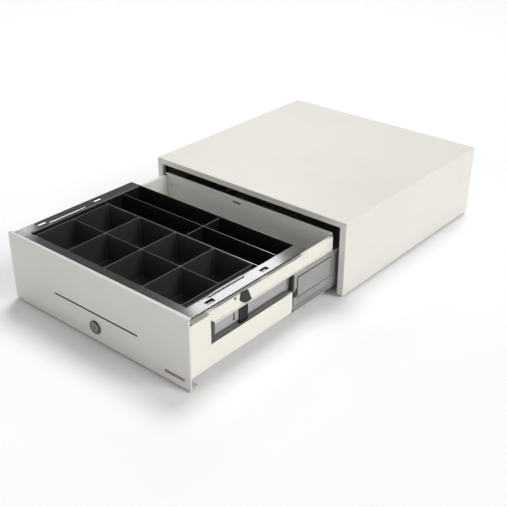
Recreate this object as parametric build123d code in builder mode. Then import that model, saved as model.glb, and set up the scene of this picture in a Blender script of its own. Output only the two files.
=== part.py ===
from build123d import *
import os

os.makedirs("parts", exist_ok=True)

# ---------------------------------------------------------------------------
# Cash drawer: painted sheet-steel cabinet, a drawer on two-stage runners,
# a lift-out black till insert with coin cups and upright note compartments,
# a key lock that bolts into the cabinet base, and a solenoid latch.
# Millimetres. +Z up, +Y from the drawer front to the cabinet's back, +X to
# the right of a person facing the drawer. The drawer is drawn fully open.
# ---------------------------------------------------------------------------

# Cabinet
CAB_W = 410.0  # outside width
CAB_D = 408.0  # outside depth
CAB_H = 128.0  # outside height, without feet
SHELL_T = 1.2
FRAME_W = 11.5  # width of the front frame beside the opening
FRAME_TOP = 10.0  # height of the front frame above the opening
FRAME_RETURN = 15.0  # depth of the frame's inward return
FOOT_H = 4.0
BASE_T = 1.0

# Drawer
TRAVEL = 335.0  # front panel's travel from closed to open
PANEL_W = 381.4
PANEL_Z0 = -1.4  # the front reaches just below the cabinet
RETURN_Z = 1.4  # underside of the panel's inner return, over the base plate
PANEL_Z1 = 114.4
SHEET = 1.2
LOCK_PROUD = 2.5
TRAY_X = 180.3  # outer half width of the tray's inner walls
SKIN_X = 190.2  # outer half width of the drawer's side skins
TRAY_Z0 = 18.0  # underside of the drawer floor
DECK_Z = 107.3  # top of the drawer's back wall
SIDE_Z = 101.4  # top of the side panels
STRIP_X = 185.0  # outer half width of the strip above the side window
FRONT_WALL_Y = -320.0
WINDOW_Y0, WINDOW_Y1 = -291.7, -6.0
WINDOW_Z0, WINDOW_Z1 = 53.0, 79.8
SKIN_REAR_Y = -113.0

# Insert
INSERT_X = 188.3
INSERT_Y0, INSERT_Y1 = -314.9, -80.1
RIM_Y0 = -326.5  # front edge of the rim, over the tray's front wall
INSERT_TOP = 111.8
RIM_X = 167.0  # inner edge of the side rims
CUP_X = 156.0
CUP_Y0, CUP_Y1 = -312.0, -163.6
CUP_FLOOR = 64.0
NOTE_FLOOR = 25.6
NOTE_DIVIDER_X = 18.0  # the right-hand compartments are the narrower ones

# Runners
RUNNER_Y0, RUNNER_Y1 = -107.0, 190.0
TRACK_Y0, TRACK_Y1 = 20.0, 400.0

# Latch
LATCH_X, LATCH_Y = 12.0, 385.0  # pivot
PLUNGER_Y, PLUNGER_Z = 365.0, 38.5

# The part's origin is under the middle of the open drawer's overall length,
# on the surface that the feet stand on.
Y0 = -(CAB_D - TRAVEL - LOCK_PROUD) / 2  # the cabinet's front plane
Z0 = FOOT_H  # the cabinet's underside


def level(z):
    """Horizontal plane at a height above the cabinet's underside."""
    return Plane(origin=(0, Y0, Z0 + z))


def front(y):
    """Upright plane parallel to the front, local axes X and Z, normal to -Y."""
    return Plane(origin=(0, Y0 + y, Z0), x_dir=(1, 0, 0), z_dir=(0, -1, 0))


def side(x):
    """Upright plane parallel to the sides, local axes Y and Z, normal to +X."""
    return Plane(origin=(x, Y0, Z0), x_dir=(0, 1, 0), z_dir=(1, 0, 0))


def bar(x0, x1, y0, y1, z0, z1, mode=Mode.ADD):
    """A rectangular length of material between two corners, in the open part."""
    with Locations(((x0 + x1) / 2, Y0 + (y0 + y1) / 2, Z0 + (z0 + z1) / 2)):
        Box(x1 - x0, y1 - y0, z1 - z0, mode=mode)


def rod(x, y, z, r, length, axis, mode=Mode.ADD):
    """A round rod whose lower end is at (x, y, z) and which runs along +axis."""
    turn = {"X": (0, 90, 0), "Y": (-90, 0, 0), "Z": (0, 0, 0)}[axis]
    with Locations((x, Y0 + y, Z0 + z)):
        Cylinder(
            r,
            length,
            rotation=turn,
            align=(Align.CENTER, Align.CENTER, Align.MIN),
            mode=mode,
        )


# ===========================================================================
# CABINET
# ===========================================================================

SCREW_HOLE = 1.6
REAR_SCREWS = [(x, z) for x in (-197.5, 197.5) for z in (22, 104)] + [
    (-70, 121.2),
    (70, 121.2),
]
TRACK_RIVETS = [(x, y) for x in (-180.5, 180.5) for y in (45, 205, 380)]
FOOT_POS = [(x, y) for x in (-160, 160) for y in (38, 372)]
BASE_HOLES = [(x, y) for x in (-130, 130) for y in (60, 340)]
STAND_POS = [(-150, 20), (-150, 56), (-94, 20), (-94, 56)]

# One bent sheet: top, two sides, and the returned frame round the opening
with BuildPart() as cabinet_shell:
    with BuildSketch(front(0)):
        with BuildLine():
            Polyline(
                (-CAB_W / 2, 0),
                (-CAB_W / 2, CAB_H),
                (CAB_W / 2, CAB_H),
                (CAB_W / 2, 0),
                (-CAB_W / 2, 0),
            )
        make_face()
        fillet(vertices().group_by(Axis.Y)[-1], 2.0)
    extrude(amount=-CAB_D)
    with BuildSketch(front(-1)):
        with BuildLine():
            Polyline(
                (-CAB_W / 2 + SHELL_T, -1),
                (-CAB_W / 2 + SHELL_T, CAB_H - SHELL_T),
                (CAB_W / 2 - SHELL_T, CAB_H - SHELL_T),
                (CAB_W / 2 - SHELL_T, -1),
                (-CAB_W / 2 + SHELL_T, -1),
            )
        make_face()
        fillet(vertices().group_by(Axis.Y)[-1], 0.8)
    extrude(amount=-CAB_D - 2, mode=Mode.SUBTRACT)
    # front frame
    for s in (-1, 1):
        xa, xb = sorted((s * (CAB_W / 2 - FRAME_W), s * (CAB_W / 2 - 0.6)))
        bar(xa, xb, 0, SHELL_T, 0, CAB_H - 2)
        xa, xb = sorted(
            (s * (CAB_W / 2 - FRAME_W), s * (CAB_W / 2 - FRAME_W + SHELL_T))
        )
        bar(xa, xb, 0, FRAME_RETURN, BASE_T, CAB_H - FRAME_TOP)
    xi = CAB_W / 2 - FRAME_W + SHELL_T
    bar(-xi, xi, 0, SHELL_T, CAB_H - FRAME_TOP, CAB_H - 0.6)
    bar(-xi, xi, 0, FRAME_RETURN, CAB_H - FRAME_TOP, CAB_H - FRAME_TOP + SHELL_T)
    # rear flange that the back panel screws to
    for s in (-1, 1):
        xa, xb = sorted((s * 190.0, s * (CAB_W / 2 - 0.6)))
        bar(xa, xb, CAB_D - 5.2, CAB_D - 4.0, 12, CAB_H - 1.0)
    bar(-190.0, 190.0, CAB_D - 5.2, CAB_D - 4.0, 114, CAB_H - 0.6)
    for x, z in REAR_SCREWS:
        rod(x, CAB_D - 6, z, SCREW_HOLE, 3, "Y", mode=Mode.SUBTRACT)
    outer = (
        cabinet_shell.edges()
        .filter_by(lambda e: abs(e.center().Y - Y0) < 0.01)
        .filter_by(
            lambda e: abs(e.center().X) > CAB_W / 2 - 1.0
            or e.center().Z > Z0 + CAB_H - 1.0
        )
    )
    fillet(outer, 1.0)

# Base plate with upturned side flanges
with BuildPart() as cabinet_base:
    xo = CAB_W / 2 - SHELL_T
    bar(-xo, xo, 3.6, CAB_D - 5.2, 0, BASE_T)
    for s in (-1, 1):
        xa, xb = sorted((s * xo, s * (xo - 1.0)))
        bar(xa, xb, 18, CAB_D - 5.4, 0, 14)
    bar(-xo + 16, xo - 16, CAB_D - 6.4, CAB_D - 5.4, 0, 11)
    # slot that the lock's bolt drops into when the drawer is shut
    bar(-9, 21, 10.0, 13.6, -1, 3, mode=Mode.SUBTRACT)
    for x, y in TRACK_RIVETS:
        rod(x, y, -1, SCREW_HOLE, 4, "Z", mode=Mode.SUBTRACT)
    for x, y in FOOT_POS:
        rod(x, y, -1, 2.1, 4, "Z", mode=Mode.SUBTRACT)
    # holes for screwing the cabinet down to a counter
    for x, y in BASE_HOLES:
        rod(x, y, -1, 2.75, 4, "Z", mode=Mode.SUBTRACT)
    # shallow stiffening swages pressed up from the plate
    for x in (-90, 0, 90):
        with BuildSketch(level(BASE_T)):
            with Locations((x, 190)):
                SlotOverall(240, 16, rotation=90)
        extrude(amount=1.0)

with BuildPart() as rear_panel:
    bar(-203.4, 203.4, CAB_D - 4.0, CAB_D - 2.8, 0.6, CAB_H - 1.6)
    bar(-129, -111, CAB_D - 6, CAB_D, 29.5, 46.5, mode=Mode.SUBTRACT)
    for x, z in REAR_SCREWS:
        rod(x, CAB_D - 6, z, SCREW_HOLE, 6, "Y", mode=Mode.SUBTRACT)
    # cooling slots
    for i in range(7):
        with BuildSketch(front(CAB_D - 6)):
            with Locations((96 + i * 9, 60)):
                SlotOverall(40, 3.2, rotation=90)
        extrude(amount=-6, mode=Mode.SUBTRACT)
    # finger dimple ring around the socket
    fillet(rear_panel.edges().filter_by(Axis.Y).group_by(Axis.Z)[-1], 1.0)

with BuildPart() as rear_panel_screws:
    for x, z in REAR_SCREWS:
        rod(x, CAB_D - 9, z, 1.5, 7, "Y")
        with BuildSketch(front(CAB_D - 2.8)):
            with Locations((x, z)):
                Circle(3.0)
        extrude(amount=-1.9)
        with BuildSketch(front(CAB_D - 0.9)):
            with Locations((x, z)):
                Rectangle(3.6, 0.8)
                Rectangle(0.8, 3.6)
        extrude(amount=1.0, mode=Mode.SUBTRACT)

with BuildPart() as rubber_feet:
    for x, y in FOOT_POS:
        with BuildSketch(level(-FOOT_H)):
            with Locations((x, y)):
                Circle(10.0)
        extrude(amount=FOOT_H)
        rod(x, y, -FOOT_H - 1, 4.5, 3.0, "Z", mode=Mode.SUBTRACT)
        rod(x, y, -2.2, 2.0, 2.2 + BASE_T, "Z")
        rod(x, y, BASE_T, 4.0, 1.6, "Z")
    fillet(rubber_feet.edges().group_by(Axis.Z)[0].filter_by(lambda e: e.length > 40), 1.0)


def track_profile(x_sign):
    """Outline of the base-mounted rail: floor flange, web and T-shaped head."""
    pts = [
        (175.0, 1.0),
        (187.4, 1.0),
        (187.4, 11.4),
        (189.2, 11.4),
        (189.2, 12.6),
        (184.0, 12.6),
        (184.0, 11.4),
        (186.2, 11.4),
        (186.2, 2.2),
        (175.0, 2.2),
    ]
    pts = [(x_sign * x, z) for x, z in pts]
    return pts + [pts[0]]


with BuildPart() as track_right:
    with BuildSketch(front(TRACK_Y0)):
        with BuildLine():
            Polyline(*track_profile(1))
        make_face()
    extrude(amount=-(TRACK_Y1 - TRACK_Y0))
    for x, y in TRACK_RIVETS:
        if x > 0:
            rod(x, y, 0, SCREW_HOLE, 4, "Z", mode=Mode.SUBTRACT)

with BuildPart() as track_left:
    mirror(track_right.part, about=Plane.YZ)

with BuildPart() as track_rivets:
    for x, y in TRACK_RIVETS:
        rod(x, y, -0.9, 2.6, 0.9, "Z")
        rod(x, y, 0, 1.55, 2.2, "Z")
        rod(x, y, 2.2, 2.8, 0.9, "Z")

# Bench that carries the latch: a raised plate on two legs
BR_Z = 22.5
with BuildPart() as latch_bracket:
    bar(-40, 70, 342, 398, BR_Z, BR_Z + 1.5)
    bar(-40, -38.5, 342, 398, BASE_T, BR_Z + 1.5)
    bar(68.5, 70, 342, 398, BASE_T, BR_Z + 1.5)
    bar(-52, -38.5, 342, 398, BASE_T, BASE_T + 1.5)
    bar(68.5, 82, 342, 398, BASE_T, BASE_T + 1.5)
    rod(LATCH_X, LATCH_Y, BR_Z - 1, 3.0, 4, "Z", mode=Mode.SUBTRACT)
    # upright tab that anchors the latch spring
    bar(38, 39.2, 392, 398, BR_Z, 45)
    for x, y in ((-46, 352), (-46, 388), (76, 352), (76, 388)):
        rod(x, y, 0, SCREW_HOLE, 4, "Z", mode=Mode.SUBTRACT)

with BuildPart() as latch_bracket_screws:
    for x, y in ((-46, 352), (-46, 388), (76, 352), (76, 388)):
        rod(x, y, BASE_T, 1.5, 1.5, "Z")
        rod(x, y, BASE_T + 1.5, 3.0, 2.0, "Z")
        bar(x - 1.8, x + 1.8, y - 0.4, y + 0.4, BASE_T + 2.7, BASE_T + 4, mode=Mode.SUBTRACT)

with BuildPart() as latch_pivot_pin:
    rod(LATCH_X, LATCH_Y, BR_Z, 2.95, 18.0, "Z")
    rod(LATCH_X, LATCH_Y, BR_Z + 1.5, 5.0, 36.7 - BR_Z - 1.5, "Z")
    rod(LATCH_X, LATCH_Y, 40.5, 5.0, 1.8, "Z")
    rod(LATCH_X, LATCH_Y, BR_Z - 1.2, 4.2, 1.2, "Z")

# Lever that hooks the drawer's striker; the nose is on its front end
with BuildPart() as latch_lever:
    with BuildSketch(level(37.0)):
        with BuildLine():
            Polyline(
                (6.0, 392.0),
                (6.0, 350.0),
                (-3.0, 350.0),
                (-1.0, 347.5),
                (7.0, 343.5),
                (14.0, 343.5),
                (14.0, 358.5),
                (26.0, 358.5),
                (26.0, 369.0),
                (18.0, 370.0),
                (18.0, 394.0),
                (16.0, 399.0),
                (9.0, 399.0),
                (6.0, 392.0),
            )
        make_face()
        with Locations((LATCH_X, LATCH_Y)):
            Circle(3.0, mode=Mode.SUBTRACT)
        with Locations((22.0, PLUNGER_Y - 1.7)):
            SlotOverall(7.8, 3.3, rotation=90, mode=Mode.SUBTRACT)
    extrude(amount=3.0)
    rod(13.0, 395.5, 40.0, 1.2, 4.4, "Z")

with BuildPart() as solenoid_frame:
    bar(31.5, 33.0, 353, 377, BR_Z + 1.5, 51)
    bar(62.0, 63.5, 353, 377, BR_Z + 1.5, 51)
    bar(33.0, 62.0, 353, 377, BR_Z + 1.5, BR_Z + 2.7)
    rod(30, PLUNGER_Y, PLUNGER_Z, 5.3, 4, "X", mode=Mode.SUBTRACT)

with BuildPart() as solenoid_coil:
    rod(33.2, PLUNGER_Y, PLUNGER_Z, 10.0, 28.6, "X")
    rod(33.0, PLUNGER_Y, PLUNGER_Z, 11.6, 1.6, "X")
    rod(60.4, PLUNGER_Y, PLUNGER_Z, 11.6, 1.6, "X")
    rod(33.0, PLUNGER_Y, PLUNGER_Z, 5.4, 29.0, "X", mode=Mode.SUBTRACT)

with BuildPart() as solenoid_plunger:
    rod(18.0, PLUNGER_Y, PLUNGER_Z, 5.0, 38.0, "X")
    bar(17.0, 29.0, 358, 372, 36.6, 40.4, mode=Mode.SUBTRACT)
    rod(22.0, PLUNGER_Y, 35.0, 1.25, 7.0, "Z")
    fillet(solenoid_plunger.edges().filter_by(GeomType.CIRCLE).group_by(Axis.X)[-1], 0.8)

# Close-wound return spring from the lever's post to the bracket's tab
with BuildPart() as latch_spring:
    with BuildSketch(Plane(origin=(0, Y0 + 395.5, Z0 + 43.0))):
        with BuildLine():
            ring = [(14.3, 0.0), (14.3, 0.7), (15.4, 0.7)]
            for i in range(11):
                ring += [(16.2 + i * 1.8, 2.4), (17.1 + i * 1.8, 1.8)]
            ring += [(36.4, 0.7), (38.0, 0.7), (38.0, 0.0), (14.3, 0.0)]
            Polyline(*ring)
        make_face()
    revolve(axis=Axis((0, Y0 + 395.5, Z0 + 43.0), (1, 0, 0)))

with BuildPart() as microswitch_body:
    bar(-18, -7, 362, 388, BR_Z + 1.5, 41)
    fillet(microswitch_body.edges().filter_by(Axis.Z), 0.6)
    bar(-7, -4.0, 381, 387, 34, 36.0)
    rod(-5.4, 384, 35, 0.6, 5.9, "Z")
    for z in (27.0, 33.0):
        rod(-19, 367, z, 1.3, 12.2, "X", mode=Mode.SUBTRACT)

with BuildPart() as microswitch_lever:
    with BuildSketch(level(36.4)):
        with BuildLine():
            Polyline(
                (-5.4, 384.8),
                (-4.4, 384.6),
                (4.6, 366.0),
                (4.9, 364.6),
                (3.9, 364.0),
                (3.3, 365.3),
                (-6.0, 383.2),
                (-5.4, 384.8),
            )
        make_face()
        with Locations((-5.4, 384.0)):
            Circle(1.4)
            Circle(0.75, mode=Mode.SUBTRACT)
    extrude(amount=4.0)

# Rear stops: uprights with a rubber buffer and an ejector spring on each side
STOPS = (-120.0, 120.0)


def rear_stop(xc):
    """Bent upright standing on the base, with holes for buffer and guide."""
    bar(xc - 20, xc + 20, 345.0, 346.5, BASE_T, 60)
    bar(xc - 20, xc + 20, 345.0, 366, BASE_T, BASE_T + 1.5)
    for s in (-1, 1):
        bar(xc + s * 20 - 0.75 + (-0.75 * s), xc + s * 20 + 0.75 + (-0.75 * s), 345.0, 360, BASE_T, 30)
    rod(xc - 9, 344, 48, 2.55, 4, "Y", mode=Mode.SUBTRACT)
    rod(xc + 9, 344, 30, 2.05, 4, "Y", mode=Mode.SUBTRACT)


with BuildPart() as rear_stop_left:
    rear_stop(STOPS[0])
with BuildPart() as rear_stop_right:
    rear_stop(STOPS[1])

with BuildPart() as closing_buffers:
    for xc in STOPS:
        rod(xc - 9, 335.6, 48, 7.0, 9.4, "Y")
        rod(xc - 9, 345.0, 48, 2.5, 1.5, "Y")
        rod(xc - 9, 346.5, 48, 4.0, 2.0, "Y")
    fillet(closing_buffers.edges().group_by(Axis.Y)[0], 1.2)

with BuildPart() as ejector_guides:
    for xc in STOPS:
        rod(xc + 9, 338.0, 30, 2.0, 8.5, "Y")
        rod(xc + 9, 346.5, 30, 3.6, 2.0, "Y")

with BuildPart() as ejector_springs:
    for xc in STOPS:
        with BuildSketch(Plane(origin=(xc + 9, Y0, Z0 + 30), x_dir=(0, 1, 0), z_dir=(0, 0, -1))):
            with BuildLine():
                ring = [(335.6, 2.4)]
                for i in range(5):
                    ring += [(335.9 + i * 1.85, 4.6), (336.9 + i * 1.85, 4.6), (337.3 + i * 1.85, 4.0)]
                ring += [(345.0, 4.0), (345.0, 2.4), (335.6, 2.4)]
                Polyline(*ring)
            make_face()
        revolve(axis=Axis((xc + 9, Y0, Z0 + 30), (0, 1, 0)))

with BuildPart() as interface_board:
    bar(-156, -88, 392.0, 393.6, 14, 62)
    for x, z in STAND_POS:
        rod(x, 391, z, 1.6, 4, "Y", mode=Mode.SUBTRACT)
    bar(-146, -132, 386.0, 392.0, 40, 54)
    bar(-112, -98, 388.0, 392.0, 24, 34)
    rod(-104, 381.0, 48, 4.0, 11.0, "Y")

with BuildPart() as board_standoffs:
    for x, z in STAND_POS:
        rod(x, 393.6, z, 3.0, CAB_D - 4.0 - 393.6, "Y")
        rod(x, 390.6, z, 1.5, 3.0, "Y")
        rod(x, 390.0, z, 2.8, 2.0, "Y")

with BuildPart() as data_socket:
    bar(-128.6, -111.4, 393.6, CAB_D - 1.6, 30, 46)
    bar(-126.0, -114.0, 397, CAB_D, 34.5, 43.0, mode=Mode.SUBTRACT)
    bar(-123.0, -117.0, 397, CAB_D, 31.8, 36, mode=Mode.SUBTRACT)

# ===========================================================================
# DRAWER
# ===========================================================================

RAIL_RIVETS = [-300.0, -205.0, -125.0, -30.0]
PANEL_SCREWS = [-150.0, -60.0, 60.0, 150.0]

# Inner tray: floor and four walls
with BuildPart() as drawer_tray:
    bar(-TRAY_X, TRAY_X, FRONT_WALL_Y, 0, TRAY_Z0, TRAY_Z0 + SHEET)
    for s in (-1, 1):
        xa, xb = sorted((s * TRAY_X, s * (TRAY_X - SHEET)))
        bar(xa, xb, FRONT_WALL_Y, 0, TRAY_Z0, SIDE_Z - SHEET)
    bar(-TRAY_X, TRAY_X, FRONT_WALL_Y, FRONT_WALL_Y + SHEET, TRAY_Z0, DECK_Z - SHEET)
    bar(-TRAY_X, TRAY_X, -3.0, -1.8, TRAY_Z0, DECK_Z - SHEET)
    bar(-TRAY_X, TRAY_X, -6.0, -1.0, DECK_Z - 2 * SHEET, DECK_Z - SHEET)
    # slot for papers pushed in through the front panel
    bar(-91, 91, FRONT_WALL_Y - 1, FRONT_WALL_Y + 3, 42.6, 48.0, mode=Mode.SUBTRACT)
    # slot and holes in the back wall
    with BuildSketch(front(-5)):
        with Locations((-16.2, 97.1)):
            SlotOverall(18, 3.2)
        with Locations((-170, 84), (170, 84)):
            Circle(1.6)
    extrude(amount=-6, mode=Mode.SUBTRACT)
    for x in PANEL_SCREWS:
        rod(x, FRONT_WALL_Y - 1, 26, SCREW_HOLE, 4, "Y", mode=Mode.SUBTRACT)
    for y in RAIL_RIVETS:
        rod(-TRAY_X - 2, y, 73.5, SCREW_HOLE, 5, "X", mode=Mode.SUBTRACT)
        rod(TRAY_X - 3, y, 73.5, SCREW_HOLE, 5, "X", mode=Mode.SUBTRACT)
    for x in (-8, 8):
        for z in (28, 42):
            rod(x, -5, z, SCREW_HOLE, 6, "Y", mode=Mode.SUBTRACT)

# Outer side panel: deck flange, upper strip with a rolled lip, lower skin
with BuildPart() as side_panel_right:
    with BuildSketch(side(SKIN_X - SHEET)):
        with BuildLine():
            Polyline(
                (-331.8, TRAY_Z0),
                (SKIN_REAR_Y, TRAY_Z0),
                (SKIN_REAR_Y, WINDOW_Z0),
                (WINDOW_Y0, WINDOW_Z0),
                (WINDOW_Y0, SIDE_Z),
                (-331.8, SIDE_Z),
                (-331.8, TRAY_Z0),
            )
        make_face()
        fillet(
            vertices().sort_by_distance((SKIN_X - SHEET, Y0 + WINDOW_Y0, Z0 + WINDOW_Z0))[0],
            7.0,
        )
    extrude(amount=SHEET)
    # strip over the window, set in from the skin by a joggle
    bar(STRIP_X - SHEET, STRIP_X, WINDOW_Y0 - SHEET, WINDOW_Y1, WINDOW_Z1, SIDE_Z)
    bar(STRIP_X - SHEET, SKIN_X, WINDOW_Y0 - SHEET, WINDOW_Y0, WINDOW_Z1, SIDE_Z)
    bar(TRAY_X - SHEET, STRIP_X, FRONT_WALL_Y, WINDOW_Y1, SIDE_Z - SHEET, SIDE_Z)
    bar(TRAY_X, SKIN_X, -326.3, WINDOW_Y0, SIDE_Z - SHEET, SIDE_Z)
    # rolled lip along the strip's lower edge
    bar(STRIP_X - 0.3, STRIP_X + 1.8, -281.0, WINDOW_Y1 - 3, WINDOW_Z1, WINDOW_Z1 + 1.3)
    # front folds that tie the skin to the tray
    bar(168.0, SKIN_X - 0.6, FRONT_WALL_Y - SHEET, FRONT_WALL_Y, 34, SIDE_Z - 3)
    bar(TRAY_X, SKIN_X - 0.6, -326.3, -293.0, TRAY_Z0, TRAY_Z0 + SHEET)
    # notch for the insert clip's neck, and the small punched holes in the strip
    bar(STRIP_X - 3, STRIP_X + 1, -221.6, -208.4, 84.4, 95.6, mode=Mode.SUBTRACT)
    with BuildSketch(side(STRIP_X - 3)):
        with Locations((-235.8, 97.6)):
            Circle(2.4)
        with Locations((-74, 97.4), (-80, 96.4), (-164, 97.0)):
            Circle(0.8)
    extrude(amount=6, mode=Mode.SUBTRACT)

with BuildPart() as side_panel_left:
    mirror(side_panel_right.part, about=Plane.YZ)

# Front: a folded pan with the paper slot and the lock hole
PX = PANEL_W / 2
with BuildPart() as front_panel:
    bar(-PX, PX, -TRAVEL, -TRAVEL + SHEET, PANEL_Z0, PANEL_Z1)
    bar(-PX, PX, -TRAVEL, -TRAVEL + 6.3, PANEL_Z1 - SHEET, PANEL_Z1)
    # lip under the cabinet's base plate, and the inner return over it
    bar(-PX, PX, -TRAVEL, -325.5, PANEL_Z0, PANEL_Z0 + SHEET)
    bar(-PX, PX, -TRAVEL, FRONT_WALL_Y, RETURN_Z, RETURN_Z + SHEET)
    for s in (-1, 1):
        xa, xb = sorted((s * PX, s * (PX - SHEET)))
        bar(xa, xb, -TRAVEL, -TRAVEL + 3.0, PANEL_Z0, PANEL_Z1)
        xa, xb = sorted((s * 30.0, s * 166.0))
        bar(xa, xb, FRONT_WALL_Y - SHEET, FRONT_WALL_Y, RETURN_Z, 33)
    outer = front_panel.edges().filter_by(
        lambda e: abs(e.center().Y - (Y0 - TRAVEL)) < 0.01
    )
    fillet(outer, 0.9)
    with BuildSketch(front(-TRAVEL - 1)):
        with Locations((0, 45.1)):
            SlotOverall(180.8, 2.9)
        with Locations((0, 22)):
            Circle(9.6)
    extrude(amount=-4, mode=Mode.SUBTRACT)
    # slot in the bottom return for the lock's bolt
    bar(-9, 21, -325.2, -321.6, 0, 4, mode=Mode.SUBTRACT)
    for x in PANEL_SCREWS:
        rod(x, FRONT_WALL_Y - 3, 26, SCREW_HOLE, 5, "Y", mode=Mode.SUBTRACT)

with BuildPart() as front_panel_screws:
    for x in PANEL_SCREWS:
        rod(x, FRONT_WALL_Y - 4.5, 26, 1.5, 5.7, "Y")
        rod(x, FRONT_WALL_Y + SHEET, 26, 3.2, 2.0, "Y")
        rod(x, FRONT_WALL_Y - SHEET - 2.4, 26, 3.0, 2.4, "Y")

with BuildPart() as label_plate:
    with BuildSketch(front(-TRAVEL)):
        with Locations((161, 12.6)):
            RectangleRounded(38.0, 4.6, 0.8)
    extrude(amount=0.5)

# Key lock
LX, LZ = 0.0, 22.0
with BuildPart() as lock_housing:
    rod(LX, -TRAVEL - LOCK_PROUD, LZ, 11.0, LOCK_PROUD, "Y")
    rod(LX, -TRAVEL, LZ, 9.5, TRAVEL - 324.4, "Y")
    fillet(lock_housing.edges().group_by(Axis.Y)[0], 1.2)
    rod(LX, -TRAVEL - LOCK_PROUD - 1, LZ, 6.05, 20, "Y", mode=Mode.SUBTRACT)

with BuildPart() as lock_nut:
    with BuildSketch(front(-TRAVEL + SHEET)):
        with Locations((LX, LZ)):
            RegularPolygon(12.4, 6, major_radius=False)
            Circle(9.55, mode=Mode.SUBTRACT)
    extrude(amount=-3.0)

with BuildPart() as lock_plug:
    rod(LX, -TRAVEL - LOCK_PROUD + 0.3, LZ, 6.0, 13.0, "Y")
    bar(LX - 3, LX + 3, -TRAVEL + 10, -322.6, LZ - 3, LZ + 3)
    rod(LX, -330, LZ, 1.6, 10, "Y", mode=Mode.SUBTRACT)
    # keyway
    bar(LX - 0.9, LX + 0.9, -TRAVEL - 4, -TRAVEL + 3.2, LZ - 3.9, LZ + 3.9, mode=Mode.SUBTRACT)
    bar(LX - 0.9, LX + 2.2, -TRAVEL - 4, -TRAVEL + 3.2, LZ - 0.7, LZ + 0.7, mode=Mode.SUBTRACT)
    fillet(
        lock_plug.edges().filter_by(GeomType.CIRCLE).group_by(Axis.Y)[0], 0.4
    )

with BuildPart() as lock_bolt:
    with BuildSketch(front(-324.2)):
        with Locations((LX, LZ)):
            Circle(7.5)
        with Locations((LX + 11.75, LZ)):
            Rectangle(23.5, 9.0)
        fillet(vertices().group_by(Axis.X)[-1], 2.0)
        with Locations((LX, LZ)):
            Rectangle(6.1, 6.1, mode=Mode.SUBTRACT)
    extrude(amount=-1.6)

with BuildPart() as lock_bolt_screw:
    rod(LX, -329, LZ, 1.55, 6.5, "Y")
    rod(LX, -322.5, LZ, 4.4, 1.5, "Y")
    bar(LX - 3.4, LX + 3.4, -321.6, -320.5, LZ - 0.4, LZ + 0.4, mode=Mode.SUBTRACT)

# Channel riveted to the tray wall; its groove carries the runner's shoes
with BuildPart() as drawer_rail_right:
    with BuildSketch(front(-317)):
        with BuildLine():
            Polyline(
                (180.3, 24.0),
                (184.6, 24.0),
                (184.6, 28.5),
                (183.4, 28.5),
                (183.4, 25.2),
                (181.5, 25.2),
                (181.5, 50.8),
                (183.4, 50.8),
                (183.4, 47.5),
                (184.6, 47.5),
                (184.6, 52.0),
                (181.5, 52.0),
                (181.5, 57.0),
                (183.0, 58.5),
                (183.0, 79.4),
                (180.3, 79.4),
                (180.3, 24.0),
            )
        make_face()
    extrude(amount=-309)
    for y in RAIL_RIVETS:
        rod(TRAY_X - 2, y, 73.5, SCREW_HOLE, 6, "X", mode=Mode.SUBTRACT)
    # setting slot in front of the insert clip
    bar(180, 184, -239.0, -235.4, 63.0, 75.0, mode=Mode.SUBTRACT)

with BuildPart() as drawer_rail_left:
    mirror(drawer_rail_right.part, about=Plane.YZ)

with BuildPart() as rail_rivets:
    for s in (-1, 1):
        for y in RAIL_RIVETS:
            x0 = 179.1 if s > 0 else -183.0
            rod(x0, y, 73.5, 1.55, 3.9, "X")
            rod(183.0 if s > 0 else -183.9, y, 73.5, 2.8, 0.9, "X")
            rod(178.2 if s > 0 else -179.1, y, 73.5, 2.6, 0.9, "X")

# Plastic end cap in the front of the side window
with BuildPart() as window_cap_right:
    with BuildSketch(side(185.2)):
        with BuildLine():
            Polyline(
                (-291.3, 91.0),
                (-291.3, 53.2),
                (-281.8, 53.2),
                (-281.8, 83.5),
                (-291.3, 91.0),
            )
        make_face()
        fillet(vertices().sort_by_distance((185.2, Y0 - 291.3, Z0 + 53.2))[0], 5.5)
    extrude(amount=3.2)
    bar(183.1, 185.2, -291.0, -282.0, 60.0, 79.0)
    fillet(window_cap_right.faces().sort_by(Axis.X)[-1].edges(), 0.7)

with BuildPart() as window_cap_left:
    mirror(window_cap_right.part, about=Plane.YZ)

# Black clip that holds the insert down; its neck reaches out through the strip
with BuildPart() as insert_clip_right:
    bar(183.2, 185.0, -226.2, -208.8, 52.3, 79.4)
    bar(183.2, 183.6, -226.2, -208.8, 70.0, 98.0)
    bar(181.2, 183.6, -226.2, -208.8, 80.2, 98.0)
    bar(183.2, 185.2, -221.0, -209.0, 85.0, 95.0)
    with BuildSketch(side(185.1)):
        with BuildLine():
            Polyline(
                (-227.1, 90.6),
                (-224.7, 102.6),
                (-210.2, 101.1),
                (-202.2, 82.8),
                (-215.7, 82.2),
                (-227.1, 90.6),
            )
        make_face()
    extrude(amount=1.7)
    fillet(insert_clip_right.faces().sort_by(Axis.X)[-1].edges(), 0.6)
    # grip ribs moulded on the lower band
    for i in range(4):
        bar(184.0, 185.2, -223.6 + i * 4.0, -222.4 + i * 4.0, 56, 78, mode=Mode.SUBTRACT)

with BuildPart() as insert_clip_left:
    mirror(insert_clip_right.part, about=Plane.YZ)

# Striker on the drawer's back: a tongue with an upright pin
with BuildPart() as striker:
    bar(-13, 13, -1.8, 0.0, 22, 48)
    bar(-8, 8, -1.8, 24.0, 33.0, 35.0)
    rod(0, 18, 33.0, 2.5, 9.5, "Z")
    fillet(striker.edges().filter_by(Axis.Z).group_by(Axis.Y)[-1], 3.0)
    for x in (-8, 8):
        for z in (28, 42):
            rod(x, -5, z, SCREW_HOLE, 7, "Y", mode=Mode.SUBTRACT)

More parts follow.
